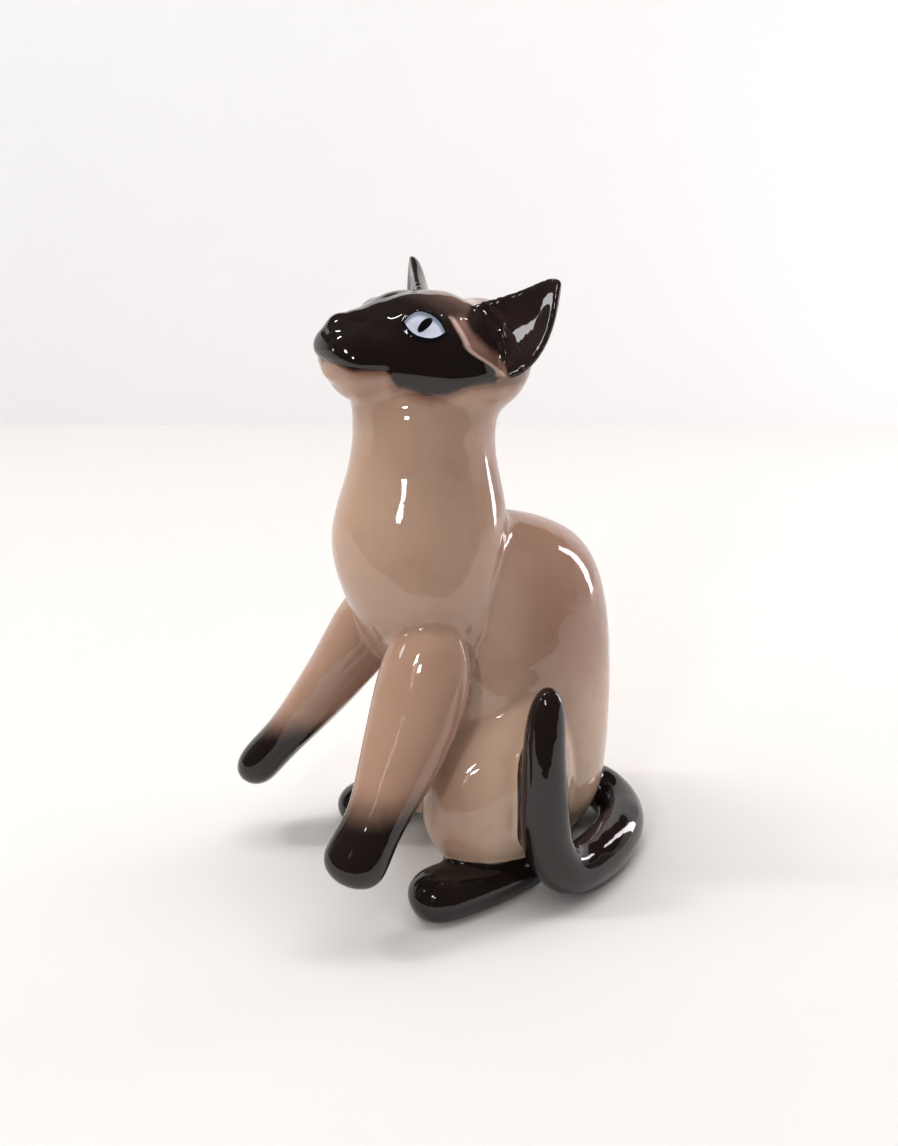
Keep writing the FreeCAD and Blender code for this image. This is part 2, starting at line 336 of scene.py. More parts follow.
def crease_radius(points, radius):
    """Radius of the glaze in creases, wider round the neck and where haunch meets back."""
    behind = np.clip((points[:, 1] / MM - NAPE_FRONT) / NAPE_RUN, 0.0, 1.0)
    fuller = 1.0
    for (height, spread, share), side in ((NECK_CREASE, 1.0), (NAPE_CREASE, behind)):
        fuller = fuller + share * side * np.exp(-((points[:, 2] / MM - height) / spread) ** 2)
    return radius * fuller


# Rounds of smoothing after each step, and of filling the creases
EVEN_ROUNDS, SETTLED_ROUNDS, FILL_ROUNDS, FILLED_ROUNDS = 20, 2, 300, 4
FINER_ROUNDS, EAR_ROUNDS, PRESSED_ROUNDS, EYE_ROUNDS = 3, 14, 3, 1
# The ears lie outside and above these, and settle on their castings once more
EARS_OUTSIDE, EARS_ABOVE = 14.0, 100.0
SETTLE_REACH = 0.5          # as a share of a facet


def finer_head(skin):
    """Divide the facets of the outer skin of the head and ears in four."""
    fine = bmesh.new()
    fine.from_mesh(skin)
    low, high = (Vector(corner) * MM for corner in (FINE_LOW, FINE_HIGH))
    middle = Vector(SKULL_MIDDLE) * MM
    head = []
    for edge in fine.edges:
        vert = edge.verts[0]
        if all(low[k] < vert.co[k] < high[k] for k in range(3)):
            out = vert.co - middle
            if out.dot(vert.normal) > 0.0 or out.length > SKULL_HOLLOW * MM:
                head.append(edge)
    bmesh.ops.subdivide_edges(fine, edges=head, cuts=1, use_grid_fill=True)
    fine.to_mesh(skin)
    fine.free()


def shape_skin(shape):
    """The finished skin of the whole figure."""
    skin = whole_form(shape.facet)
    castings = gathered_tree()
    sheet = Sheet(skin)
    sheet.smooth(EVEN_ROUNDS)
    sheet.settle(castings, SETTLE_REACH * shape.facet)
    sheet.smooth(SETTLED_ROUNDS)
    sheet.fill_creases(crease_radius(sheet.points, shape.crease), FILL_ROUNDS)
    sheet.smooth(FILLED_ROUNDS)
    sheet.store()
    finer_head(skin)
    sheet = Sheet(skin)
    sheet.smooth(FINER_ROUNDS)
    ears = np.abs(sheet.points[:, 0]) > EARS_OUTSIDE * MM
    ears &= sheet.points[:, 2] > EARS_ABOVE * MM
    settled = sheet.points.copy()
    sheet.settle(castings, SETTLE_REACH * shape.facet)
    sheet.points[~ears] = settled[~ears]
    sheet.smooth(EAR_ROUNDS)
    for centre, radii, push in FACE:
        press(sheet.points, centre, radii, push)
    for path, radius, push in ((CHEEK_RIDGE, RIDGE_RADIUS, RIDGE_PUSH),
                               (MOUTH, MOUTH_RADIUS, MOUTH_PUSH)):
        press_line(sheet.points, path, radius, push)
    sheet.smooth(PRESSED_ROUNDS)
    shape_eyes(sheet.points)
    sheet.smooth(EYE_ROUNDS)
    sheet.store()
    return skin


# ---- Cutting the skin at its joints -------------------------------------------------

def node_tree(name):
    """A CAD piece as a search tree over its facets."""
    casting = bmesh.new()
    casting.from_mesh(NODES[name].data)
    tree = BVHTree.FromBMesh(casting)
    casting.free()
    return tree


def joint_planes(name):
    """The direction of a joint, from the body to the limb, and its two faces along it."""
    slip = bmesh.new()
    slip.from_mesh(NODES[name + "_slip"].data)
    points = np.array([vert.co for vert in slip.verts])
    centre = points.mean(0)
    thin = np.linalg.svd(points - centre, full_matrices=False)[2][2]
    normals = np.array([face.normal for face in slip.faces])
    areas = np.array([face.calc_area() for face in slip.faces])
    along = normals @ thin
    flat = np.abs(along) > 0.98
    normal = (normals[flat] * (np.sign(along[flat]) * areas[flat])[:, None]).sum(0)
    normal /= np.linalg.norm(normal)
    slip.free()
    heart = sum(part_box(name), Vector()) * 0.5
    if normal @ (np.array(heart) - centre) < 0.0:
        normal = -normal
    height = points @ normal
    return Vector(normal), float(height.min()), float(height.max())


def near_box(points, box, reach):
    """Which points lie within reach of a box."""
    low, high = np.array(box[0]) - reach, np.array(box[1]) + reach
    return ((points > low) & (points < high)).all(1)


def middles(skin):
    """The middle of every face."""
    skin.faces.ensure_lookup_table()
    return np.array([face.calc_center_median() for face in skin.faces])


def cut_at(skin, normal, heights, box, reach):
    """Cut the skin by a joint's two planes, only round the joint in the box."""
    near = np.flatnonzero(near_box(middles(skin), box, reach))
    faces = [skin.faces[i] for i in near]
    edges = list(dict.fromkeys(edge for face in faces for edge in face.edges))
    verts = list(dict.fromkeys(vert for face in faces for vert in face.verts))
    geom = verts + edges + faces
    for height in heights:
        cut = bmesh.ops.bisect_plane(skin, geom=geom, dist=2e-6,
                                     plane_co=normal * height, plane_no=normal)
        geom = cut["geom"]


def only(skin, numbers):
    """A copy of the faces with these piece numbers."""
    piece = skin.copy()
    label = piece.faces.layers.int["piece"]
    others = [face for face in piece.faces if face[label] not in numbers]
    bmesh.ops.delete(piece, geom=others, context="FACES")
    return piece


def tail_share(skin):
    """For each point, how much nearer it is to the tail than to the body, up to 1 mm."""
    share = skin.verts.layers.float.new("tail_share")
    tail, body = node_tree("tail"), node_tree("body_casting")
    skin.verts.ensure_lookup_table()
    points = np.array([vert.co for vert in skin.verts])
    near = near_box(points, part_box("tail"), 2.0 * MM)
    for i, vert in enumerate(skin.verts):
        vert[share] = -1.0
        if near[i]:
            gap = body.find_nearest(vert.co)[3] - tail.find_nearest(vert.co)[3]
            vert[share] = min(max(gap / MM, -1.0), 1.0)


def cut_skin(mesh, reach):
    """The skin cut into named pieces, each closed over its joints."""
    skin = bmesh.new()
    skin.from_mesh(mesh)
    tail_share(skin)
    kept_normal = skin.verts.layers.float_vector.new("skin_normal")
    label = skin.faces.layers.int.new("piece")
    skin.normal_update()
    for vert in skin.verts:
        vert[kept_normal] = vert.normal
    neck = [corner.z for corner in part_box("neck_slip")]
    cut_at(skin, Vector((0.0, 0.0, 1.0)), neck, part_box("neck_slip"), reach)
    planes = {name: joint_planes(name) for name in LIMBS}
    for name, (normal, low, high) in planes.items():
        heights = (low,) if name in WHOLE_JOINTS else (low, high)
        cut_at(skin, normal, heights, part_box(name + "_slip"), reach)
    centres = middles(skin)
    numbers = np.full(len(centres), 2)
    numbers[centres[:, 2] < neck[0]] = 0
    numbers[centres[:, 2] > neck[1]] = 1
    names = ["body", "head", "neck_joint"]
    trunk = {False: node_tree("body_casting"), True: node_tree("head_casting")}
    for name, (normal, low, high) in planes.items():
        limb, slip = node_tree(name), node_tree(name + "_slip")
        names += [name, name + "_joint"]
        if name in WHOLE_JOINTS:
            high = low
        near = near_box(centres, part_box(name), reach)
        near |= near_box(centres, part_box(name + "_slip"), reach)
        heights = centres @ np.array(normal)
        for i in np.flatnonzero(near & (heights > low)):
            middle = centres[i]
            if heights[i] > high:
                own = limb.find_nearest(middle)[3]
                if own < trunk["ear" in name].find_nearest(middle)[3] or own < 0.02 * MM:
                    numbers[i] = len(names) - 2
            elif slip.find_nearest(middle)[3] < 0.4 * reach:
                numbers[i] = len(names) - 1
    for face, number in zip(skin.faces, numbers.tolist()):
        face[label] = number
    smaller = only(skin, range(2, len(names)))
    pieces = {}
    for number, name in enumerate(names):
        if name.removesuffix("_joint") in WHOLE_JOINTS and name.endswith("_joint"):
            continue
        piece = only(skin if number < 2 else smaller, (number,))
        pieces[name] = close_piece(piece, name)
    smaller.free()
    skin.free()
    return pieces


def open_loops(piece):
    """The open edges of a piece, grouped into loops."""
    waiting = dict.fromkeys(edge for edge in piece.edges if edge.is_boundary)
    loops = []
    while waiting:
        loop = [waiting.popitem()[0]]
        for edge in loop:
            for vert in edge.verts:
                for other in vert.link_edges:
                    if other in waiting:
                        del waiting[other]
                        loop.append(other)
        loops.append(loop)
    return loops


def close_piece(piece, name):
    """Close a piece over its joints, keeping the skin's own normals off the joints."""
    capped = piece.faces.layers.int.new("cap")
    kept_normal = piece.verts.layers.float_vector["skin_normal"]
    neck = [corner.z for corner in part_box("neck_slip")]
    rings = {}
    for loop in open_loops(piece):
        heights = [vert.co.z for edge in loop for vert in edge.verts]
        ring = loop[0].verts[0].index
        for k, height in enumerate(neck):
            if max(abs(z - height) for z in heights) < 0.02 * MM:
                ring = "neck%d" % k
        rings.setdefault(ring, []).extend(loop)
    for loop in rings.values():
        made = bmesh.ops.triangle_fill(piece, edges=loop, use_beauty=True)
        for face in made["geom"]:
            if isinstance(face, bmesh.types.BMFace):
                face[capped] = 1
    bmesh.ops.recalc_face_normals(piece, faces=piece.faces)
    mesh = bpy.data.meshes.new(name)
    normals = []
    for face in piece.faces:
        face.smooth = True
        for vert in face.verts:
            normals.append(face.normal if face[capped] else vert[kept_normal].normalized())
    piece.to_mesh(mesh)
    piece.free()
    mesh.normals_split_custom_set([tuple(normal) for normal in normals])
    return mesh


# ---- Paint ----------------------------------------------------------------------------

# The clear glaze: how it bends light, and its waves, whose lengths are in millimetres
GLAZE_IOR = 1.52
LONG_WAVE, SHORT_WAVE, SHORT_SHARE = 9.0, 3.2, 0.16
WAVE_HEIGHT = 0.6 * MM
COAT_WAVE, HEAD_WAVE = 0.5, 0.3     # the strength of the waves
# The unglazed rim stands on the table: glaze above the first height, bare clay below the second
GLAZED_ABOVE, BARE_BELOW = 0.45, 0.15


class Term:
    """A number that changes over a surface; sums and products of it add Math nodes."""

    def __init__(self, paint, socket):
        self.paint = paint
        self.socket = socket

    def join(self, operation, *values):
        inputs = dict(enumerate((self,) + values))
        return self.paint.number("ShaderNodeMath", inputs, operation=operation)

    def __add__(self, other):
        return self.join("ADD", other)

    def __sub__(self, other):
        return self.join("SUBTRACT", other)

    def __rsub__(self, other):
        return self.paint.value(other).join("SUBTRACT", self)

    def __mul__(self, other):
        return self.join("MULTIPLY", other)

    def __truediv__(self, other):
        return self.join("DIVIDE", other)

    def __pow__(self, other):
        return self.join("POWER", other)

    def __abs__(self):
        return self.join("ABSOLUTE")

    def lesser(self, other):
        return self.join("MINIMUM", other)

    def greater(self, other):
        return self.join("MAXIMUM", other)

    def rise(self, start, end):
        """From 0 at start to 1 at end, eased at both."""
        inputs = {"Value": self, "From Min": start, "From Max": end}
        return self.paint.number("ShaderNodeMapRange", inputs, output="Result",
                                 interpolation_type="SMOOTHSTEP")

    __radd__ = __add__
    __rmul__ = __mul__


class Paint:
    """A material's nodes."""

    def __init__(self, name):
        self.material = bpy.data.materials.new(name)
        self.material.use_nodes = True
        self.tree = self.material.node_tree
        self.tree.nodes.clear()
        place = self.node("ShaderNodeTexCoord").outputs["Object"]
        scaled = self.node("ShaderNodeVectorMath", {0: place, 1: (1000.0,) * 3},
                           operation="MULTIPLY").outputs["Vector"]
        self.place = scaled
        split = self.node("ShaderNodeSeparateXYZ", {"Vector": scaled})
        self.x, self.y, self.z = (Term(self, split.outputs[k]) for k in range(3))
        self.side = abs(self.x)

    def node(self, kind, inputs=None, **settings):
        """Any node, with its settings made first and then its sockets' values or links."""
        made = self.tree.nodes.new(kind)
        for key, value in settings.items():
            setattr(made, key, value)
        for key, value in (inputs or {}).items():
            value = value.socket if isinstance(value, Term) else value
            if isinstance(value, bpy.types.NodeSocket):
                self.tree.links.new(value, made.inputs[key])
            else:
                made.inputs[key].default_value = value
        return made

    def number(self, kind, inputs, output=0, **settings):
        return Term(self, self.node(kind, inputs, **settings).outputs[output])

    def value(self, number):
        return self.number("ShaderNodeMath", {0: number, 1: 0.0}, operation="ADD")

    def mix(self, share, first, second):
        """From the first colour to the second by share."""
        made = self.node("ShaderNodeMix", None, data_type="RGBA", clamp_factor=True)
        for key, value in ((0, share), (6, first), (7, second)):
            value = value.socket if isinstance(value, Term) else value
            if isinstance(value, bpy.types.NodeSocket):
                self.tree.links.new(value, made.inputs[key])
            elif key:
                made.inputs[key].default_value = (*value[:3], 1.0)
            else:
                made.inputs[key].default_value = value
        return made.outputs[2]

    def cloud(self, size, detail=2.0):
        """Soft random patches, size in millimetres, about -0.5 to 0.5."""
        inputs = {"Vector": self.place, "Scale": 1.0 / size, "Detail": detail,
                  "Roughness": 0.5}
        return self.number("ShaderNodeTexNoise", inputs, output="Fac") - 0.5

    def kept(self, name):
        """A number kept on the piece's own points."""
        return self.number("ShaderNodeAttribute", None, output="Fac", attribute_name=name)

    def along(self, origin, direction):
        """Distance from origin along a direction, on either side of the figure."""
        parts = zip((self.side, self.y, self.z), origin, direction)
        terms = [(axis - start) * share for axis, start, share in parts]
        return terms[0] + terms[1] + terms[2]

    def glaze(self, colour, gloss, wave=COAT_WAVE):
        """Finish the material: painted clay under a clear glaze that pools a little."""
        height = self.cloud(LONG_WAVE, 1.0) + self.cloud(SHORT_WAVE, 1.0) * SHORT_SHARE
        bump = self.node("ShaderNodeBump", {"Strength": wave, "Distance": WAVE_HEIGHT,
                                            "Height": height})
        shader = self.node("ShaderNodeBsdfPrincipled", {
            "Base Color": colour, "Roughness": gloss, "IOR": GLAZE_IOR,
            "Normal": bump.outputs["Normal"]})
        self.node("ShaderNodeOutputMaterial", {"Surface": shader.outputs["BSDF"]})
        return self.material


def coat_colour(paint, colours):
    """The fawn coat: darker on the back and haunches' tops, paler low down, with painted shade
    over the forelegs and the front below the chest.
    """
    wander = paint.cloud(14.0)
    low = (paint.z + wander * 14.0).rise(58.0, 14.0)
    coat = paint.mix(low, colours.fawn, colours.cream)
    back = (paint.y + wander * 10.0).rise(-12.0, 4.0) * (paint.z + wander * 12.0).rise(28.0, 52.0)
    coat = paint.mix(back * 0.62, coat, colours.tawny)
    # Painted shade over the forelegs and the front below the chest
    front_shade = paint.y.rise(-12.0, -22.0) * (paint.z + wander * 8.0).rise(64.0, 50.0)
    coat = paint.mix(front_shade * 0.48, coat, colours.tawny)
    mottle = paint.cloud(6.0, 3.0).rise(-0.05, 0.35) * 0.20
    return paint.mix(mottle, coat, colours.tawny)


# The tail's root, and each hind foot's painted outline, which narrows towards its heel
TAIL_ROOT_Y, TAIL_ROOT_Z, TAIL_ROOT_REACH = 24.6, 6.6, (7.4, 6.0)
FOOT_Z, FOOT_ACROSS, FOOT_UP = 3.2, 7.2, 6.2
FOOT_TAPER, FOOT_TOE, FOOT_HEEL = 0.55, -22.0, 8.0


def seal_on_limbs(paint, coat, colours):
    """Seal colour over the tail and its root, and over the hind feet and theirs."""
    root = paint.node("ShaderNodeCombineXYZ", {1: (paint.y - TAIL_ROOT_Y).socket,
                                               2: (paint.z - TAIL_ROOT_Z).socket})
    reach = paint.number("ShaderNodeVectorMath", {0: root.outputs[0]}, output="Value",
                         operation="LENGTH")
    root_share = reach.rise(*TAIL_ROOT_REACH) * paint.x.rise(-3.0, 2.0)
    tail = paint.kept("tail_share").rise(-0.12, 0.12).greater(root_share)
    coat = paint.mix(tail, coat, colours.seal)
    for name in WHOLE_JOINTS:
        low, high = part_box(name)
        middle = 0.5 * (low.x + high.x) / MM
        taper = 1.0 - FOOT_TAPER * paint.y.rise(FOOT_TOE, FOOT_HEEL)
        across = (paint.x - middle) / (taper * FOOT_ACROSS)
        up = (paint.z - FOOT_Z) / (taper * FOOT_UP)
        foot = (across * across + up * up).rise(1.12, 0.98)
        coat = paint.mix(foot * paint.y.rise(5.0, 3.5), coat, colours.seal)
    return coat


def body_paint(colours):
    paint = Paint("fawn_glaze_over_body")
    coat = coat_colour(paint, colours)
    coat = seal_on_limbs(paint, coat, colours)
    coat = paint.mix(paint.z.rise(GLAZED_ABOVE, BARE_BELOW), coat, colours.bisque)
    return paint.glaze(coat, colours.gloss)


EAR_ROOT, EAR_RUN = (12.1, -10.4, 107.9), (0.705, 0.355, 0.615)


def ear_share(paint, wander):
    """How far past the root of the ear, from which the seal colour covers it."""
    past = paint.along(EAR_ROOT, EAR_RUN)
    return (past + wander).rise(0.5, 1.3)


# The jaw's painted edge: its height at the lip, and by how much it steps up or down
# between two places along the face
JAW_HEIGHT = 105.2
JAW_STEPS = ((-1.1, -35.5, -32.5), (-3.3, -28.3, -25.0), (-1.4, -25.0, -20.0),
             (1.7, -18.5, -13.0))
# The cheek's ridge: its place along the face, and how it moves back lower down
RIDGE_Y = -15.9
RIDGE_STEPS = ((1.0, 112.0, 107.5), (5.8, 108.0, 102.4))
# The mask fades over the crown from here, along this direction
CROWN, CROWN_RUN = (4.0, -16.5, 115.0), (0.20, -0.74, -0.64)


def stepped(start, place, steps):
    """A number that steps from start by each step, between its two places."""
    for step, first, last in steps:
        start = start + step * place.rise(first, last)
    return start


def chin_and_throat(paint, coat, colours):
    """A paler chin, and painted shade under it: a warmer, darker throat."""
    chin = paint.y.rise(-27.0, -33.0) * paint.z.rise(107.0, 103.0)
    coat = paint.mix(chin * 0.35, coat, colours.cream)
    # Painted shade on the throat under the chin
    throat_shade = paint.z.rise(90.0, 99.0) * paint.y.rise(-24.0, -30.0)
    return paint.mix(throat_shade * 0.30, coat, colours.tawny)


def mask_over(paint, coat, colours, wander):
    """The mask over the face, with the browns that it fades into, painted shade along the lip and
    under the jaw, and a painted highlight on the cheek's ridge.
    """
    y, z = paint.y, paint.z

    # Painted shade, a soft brown along the lip and under the jaw, then the brown behind the cheek
    over_jaw = z - stepped(JAW_HEIGHT, y, JAW_STEPS) + wander
    lip_shade = (over_jaw + paint.cloud(3.0) * 1.6).rise(-3.0, -0.4)
    coat = paint.mix(lip_shade * y.rise(-36.5, -33.5) * 0.85, coat, colours.tawny)
    jaw_shade = over_jaw.rise(-1.5, -0.7) * y.rise(-27.0, -24.0)
    coat = paint.mix(jaw_shade * 0.45, coat, colours.jaw_shade)
    above_jaw = over_jaw.rise(-0.7, 0.5)
    behind = above_jaw * (y + wander * 3.0).rise(6.0, -5.0)
    coat = paint.mix(behind, coat, colours.brown)

    # The mask, fading over the crown, and a painted highlight: the pale line along the ridge that
    # ends it
    ridge = stepped(RIDGE_Y, z, RIDGE_STEPS)
    before_ridge = (ridge - y + wander * 0.6).rise(-0.35, 0.35).greater(z.rise(111.3, 113.0))
    crown = paint.along(CROWN, CROWN_RUN) + wander * 2.0
    dusk = above_jaw * before_ridge * crown.rise(-5.5, 0.5)
    coat = paint.mix(dusk * 0.85, coat, colours.dusk)
    mask = above_jaw * before_ridge * crown.rise(-1.0, 5.0)
    coat = paint.mix(mask, coat, colours.seal)
    # Painted highlight along the cheek's ridge, in the pale ridge colour
    edge = abs(ridge - y).rise(0.75, 0.1) * z.rise(101.6, 103.0) * z.rise(113.4, 111.5)
    return paint.mix(edge * paint.side.rise(9.5, 11.5) * 0.8, coat, colours.ridge)


def eyes_over(paint, coat, colours):
    """The eyes, painted on the eyeballs, with painted shade under the upper lids."""
    long, up = paint.along(EYE, EYE_LONG), paint.along(EYE, EYE_UP)
    arch = 1.0 - abs(long / EYE_HALF) ** EYE_CORNER
    top = EYE_ARCH * arch + EYE_TILT
    inside = (top - up).lesser(up + EYE_BELLY * arch - EYE_TILT)
    coat = paint.mix(inside.rise(-1.0, -0.55), coat, colours.ink)
    # Painted shade under the upper eyelid
    shade = (top - up).rise(1.5, 0.5)
    iris = paint.mix(shade * 0.9, colours.iris, colours.lid)
    coat = paint.mix(inside.rise(-0.06, 0.12), coat, iris)
    lean, stand = PUPIL_LEAN
    slant = (long * lean + up * stand - 0.05) / PUPIL_LONG
    across = (long * stand - up * lean) / PUPIL_WIDE
    pupil = (slant * slant + across * across).rise(1.15, 0.85) * inside.rise(-0.1, 0.1)
    return paint.mix(pupil, coat, colours.ink)


def head_paint(colours):
    paint = Paint("mask_glaze_over_head")
    wander = paint.cloud(2.4) * 0.5
    coat = chin_and_throat(paint, coat_colour(paint, colours), colours)
    coat = mask_over(paint, coat, colours, wander)
    coat = paint.mix(ear_share(paint, wander), coat, colours.ear)
    coat = eyes_over(paint, coat, colours)
    return paint.glaze(coat, colours.gloss, HEAD_WAVE)


def limb_paint(name, colours):
    """The fawn coat under the seal colour of the tail and the hind feet."""
    paint = Paint(name)
    coat = seal_on_limbs(paint, coat_colour(paint, colours), colours)
    blotches = paint.cloud(5.0, 3.0).rise(0.05, 0.45) * 0.05
    coat = paint.mix(blotches, coat, colours.tawny)
    coat = paint.mix(paint.z.rise(GLAZED_ABOVE, BARE_BELOW), coat, colours.bisque)
    return paint.glaze(coat, colours.gloss)


def slip_paint(colours):
    """Plain seal colour for the slip inside the hind feet's joints."""
    paint = Paint("seal_slip")
    blotches = paint.cloud(3.0, 3.0).rise(0.0, 0.4) * 0.10
    return paint.glaze(paint.mix(blotches, colours.seal, colours.tawny), colours.gloss)


def ear_paint(colours):
    paint = Paint("seal_glaze_over_ears")
    wander = paint.cloud(2.4) * 0.5
    # Lighter patches over the ear: partly random tone, partly painted sheen
    blotches = paint.cloud(6.0, 2.0).rise(-0.1, 0.4) * 0.08
    seal = paint.mix(blotches, colours.ear, colours.tawny)
    coat = paint.mix(ear_share(paint, wander), colours.ear_root, seal)
    return paint.glaze(coat, colours.gloss)


def foreleg_paint(colours):
    paint = Paint("fading_glaze_over_forelegs")
    coat = coat_colour(paint, colours)
    down = paint.z + paint.cloud(6.0) * 3.0
    coat = paint.mix(down.rise(46.0, 30.0) * 0.35, coat, colours.tawny)
    coat = paint.mix(down.rise(32.0, 24.0), coat, colours.seal)
    return paint.glaze(coat, colours.gloss)


# ---- Making the pieces -------------------------------------------------------------------

def finished(name, label, node, material):
    """One glazed piece in place of its CAD node."""
    mesh = FORM["pieces"][label]
    mesh.name = name
    mesh.materials.clear()
    mesh.materials.append(material)
    piece = bpy.data.objects.new(name, mesh)
    bpy.context.scene.collection.objects.link(piece)
    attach(piece, "root")
    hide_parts(node)
    return piece


class FIGURINE_OT_form(bpy.types.Operator):
    """Run the castings together into one soft skin and cut it at its joints"""

    bl_idname = "figurine.form"
    bl_label = "Form the skin"

    def execute(self, context):
        shape = context.scene.figurine_shape
        skin = shape_skin(shape)
        FORM["pieces"] = cut_skin(skin, shape.joint_reach)
        bpy.data.meshes.remove(skin)
        return {"FINISHED"}


class FIGURINE_OT_body(bpy.types.Operator):
    """Glaze the hollow body"""

    bl_idname = "figurine.body"
    bl_label = "Body"

    def execute(self, context):
        paint = body_paint(context.scene.figurine_colours)
        finished("glazed_body", "body", "body_casting", paint)
        return {"FINISHED"}


class FIGURINE_OT_head(bpy.types.Operator):
    """Glaze the hollow head with its mask and eyes, and the joint at the neck"""

    bl_idname = "figurine.head"
    bl_label = "Head"

    def execute(self, context):
        colours = context.scene.figurine_colours
        finished("glazed_head", "head", "head_casting", head_paint(colours))
        finished("glazed_neck_joint", "neck_joint", "neck_slip",
                 body_paint(colours))
        return {"FINISHED"}


def luted(label, paint, joint_paint):
    """A limb or ear and the joint that holds it."""
    finished("glazed_" + label, label, label, paint)
    finished("glazed_" + label + "_joint", label + "_joint", label + "_slip",
             joint_paint)


class FIGURINE_OT_ears(bpy.types.Operator):
    """Glaze both ears and their joints"""

    bl_idname = "figurine.ears"
    bl_label = "Ears"

    def execute(self, context):
        paint = ear_paint(context.scene.figurine_colours)
        for side in ("left", "right"):
            luted(side + "_ear", paint, paint)
        return {"FINISHED"}


class FIGURINE_OT_forelegs(bpy.types.Operator):
    """Glaze both lifted forelegs, fading to seal at the paws"""

    bl_idname = "figurine.forelegs"
    bl_label = "Forelegs"

    def execute(self, context):
        paint = foreleg_paint(context.scene.figurine_colours)
        for side in ("left", "right"):
            luted(side + "_foreleg", paint, paint)
        return {"FINISHED"}


class FIGURINE_OT_feet(bpy.types.Operator):
    """Glaze both hind feet"""

    bl_idname = "figurine.feet"
    bl_label = "Hind feet"

    def execute(self, context):
        colours = context.scene.figurine_colours
        paint = limb_paint("seal_glaze_over_feet", colours)
        joint_paint = slip_paint(colours)
        for name in WHOLE_JOINTS:
            finished("glazed_" + name, name, name, paint)
            joint = NODES[name + "_slip"]
            joint.data.materials.clear()
            joint.data.materials.append(joint_paint)
        return {"FINISHED"}


class FIGURINE_OT_tail(bpy.types.Operator):
    """Glaze the tail that curls round the left side"""

    bl_idname = "figurine.tail"
    bl_label = "Tail"

    def execute(self, context):
        paint = limb_paint("seal_glaze_over_tail", context.scene.figurine_colours)
        luted("tail", paint, paint)
        return {"FINISHED"}


# ---- Stage --------------------------------------------------------------------------------

EYE_POINT = Vector((0.1852, -0.1173, 0.1409))
EYE_TURN, EYE_DROP = math.radians(60.0), math.radians(69.5)
LENS, SENSOR = 36.44, 36.0
LOOK = Vector((-math.sin(EYE_TURN), math.cos(EYE_TURN), 0.0))
RIGHT = Vector((LOOK.y, -LOOK.x, 0.0))
UP = Vector((0.0, 0.0, 1.0))
FIGURE_MIDDLE = UP * 0.07

# Places along the line of sight: the floor's middle and the wall from the camera's foot,
# and the dark screen from the figure
FOOT = Vector((EYE_POINT.x, EYE_POINT.y, 0.0))
FLOOR_MIDDLE = FOOT - LOOK * 0.4
WALL_FOOT = FOOT + LOOK * 0.60
SCREEN_MIDDLE = LOOK * -0.130 + UP * 0.302

# Soft area lights: name, azimuth, elevation, distance, size, the setting of its power, and colour
LAMPS = (
    ("window", 88.0, 8.0, 0.5, (0.07, 0.34), "window", (1.0, 0.90, 0.94)),
    ("front_lamp", -55.0, 27.0, 0.9, (0.07, 0.14), "lamps", (1.0, 1.0, 1.0)),
    ("high_lamp", -118.0, 58.0, 0.9, (0.04, 0.20), "lamps", (1.0, 1.0, 1.0)),
)

# Small bright panels that only the glaze sees: middle, two half sides and brightness.
# They glint on the knee and foreleg, down the chest, in the cup of the ear and on the eye.
GLINTS = (
    (LOOK * -0.128 - RIGHT * 0.066 + UP * 0.135, RIGHT * 0.007, UP * 0.014, 0.8),
    (LOOK * -0.128 - RIGHT * 0.042 + UP * 0.108, RIGHT * 0.007, UP * 0.005, 0.8),
    (Vector((-0.025, -0.120, 0.112)), Vector((0.0075, -0.0027, 0.0)), UP * 0.008, 0.22),
    (Vector((0.0, 0.012, 0.260)), Vector((0.008, 0.0, 0.0)), Vector((0.0, 0.008, 0.0)), 0.5),
)


def plain_finish(name, tone, roughness):
    """A matt stage surface with the faintest mottle."""
    paint = Paint(name)
    mottled = paint.mix(paint.cloud(60.0, 2.0).rise(-0.3, 0.3) * 0.06, tone,
                        [0.85 * part for part in tone])
    shader = paint.node("ShaderNodeBsdfPrincipled", {
        "Base Color": mottled, "Roughness": roughness, "Specular IOR Level": 0.1})
    paint.node("ShaderNodeOutputMaterial", {"Surface": shader.outputs["BSDF"]})
    return paint.material


def glowing_finish(name, strength):
    """A white light of even brightness."""
    paint = Paint(name)
    glow = paint.node("ShaderNodeEmission", {"Color": (1.0, 1.0, 1.0, 1.0),
                                             "Strength": strength})
    paint.node("ShaderNodeOutputMaterial", {"Surface": glow.outputs["Emission"]})
    return paint.material


def panel(name, centre, across, up, material):
    """A flat stage panel, by its centre and its two half sides."""
    sheet = bmesh.new()
    corners = [centre - across - up, centre + across - up,
               centre + across + up, centre - across + up]
    sheet.faces.new([sheet.verts.new(corner) for corner in corners])
    mesh = bpy.data.meshes.new(name)
    sheet.to_mesh(mesh)
    sheet.free()
    mesh.materials.append(material)
    made = bpy.data.objects.new(name, mesh)
    bpy.context.scene.collection.objects.link(made)
    return made


def mirrored_panel(*sides):
    """A stage panel that only the glaze sees."""
    made = panel(*sides)
    made.visible_camera = False
    made.visible_diffuse = False
    made.visible_shadow = False
    made.visible_transmission = False


def soft_light(name, place, target, size, power, tint, seen=True):
    """A rectangular soft light turned to a target; unseen ones leave no highlight."""
    light = bpy.data.lights.new(name, "AREA")
    light.shape = "RECTANGLE"
    light.size, light.size_y = size
    light.energy = power
    light.color = tint
    made = bpy.data.objects.new(name, light)
    bpy.context.scene.collection.objects.link(made)
    made.location = place
    made.rotation_euler = (target - place).to_track_quat("-Z", "Y").to_euler()
    made.visible_glossy = seen


def toward(azimuth, elevation, distance):
    """A place seen from the middle of the figure at these angles and distance."""
    turn, rise = math.radians(azimuth), math.radians(elevation)
    flat = distance * math.cos(rise)
    return FIGURE_MIDDLE + Vector((flat * math.cos(turn), flat * math.sin(turn),
                                   distance * math.sin(rise)))


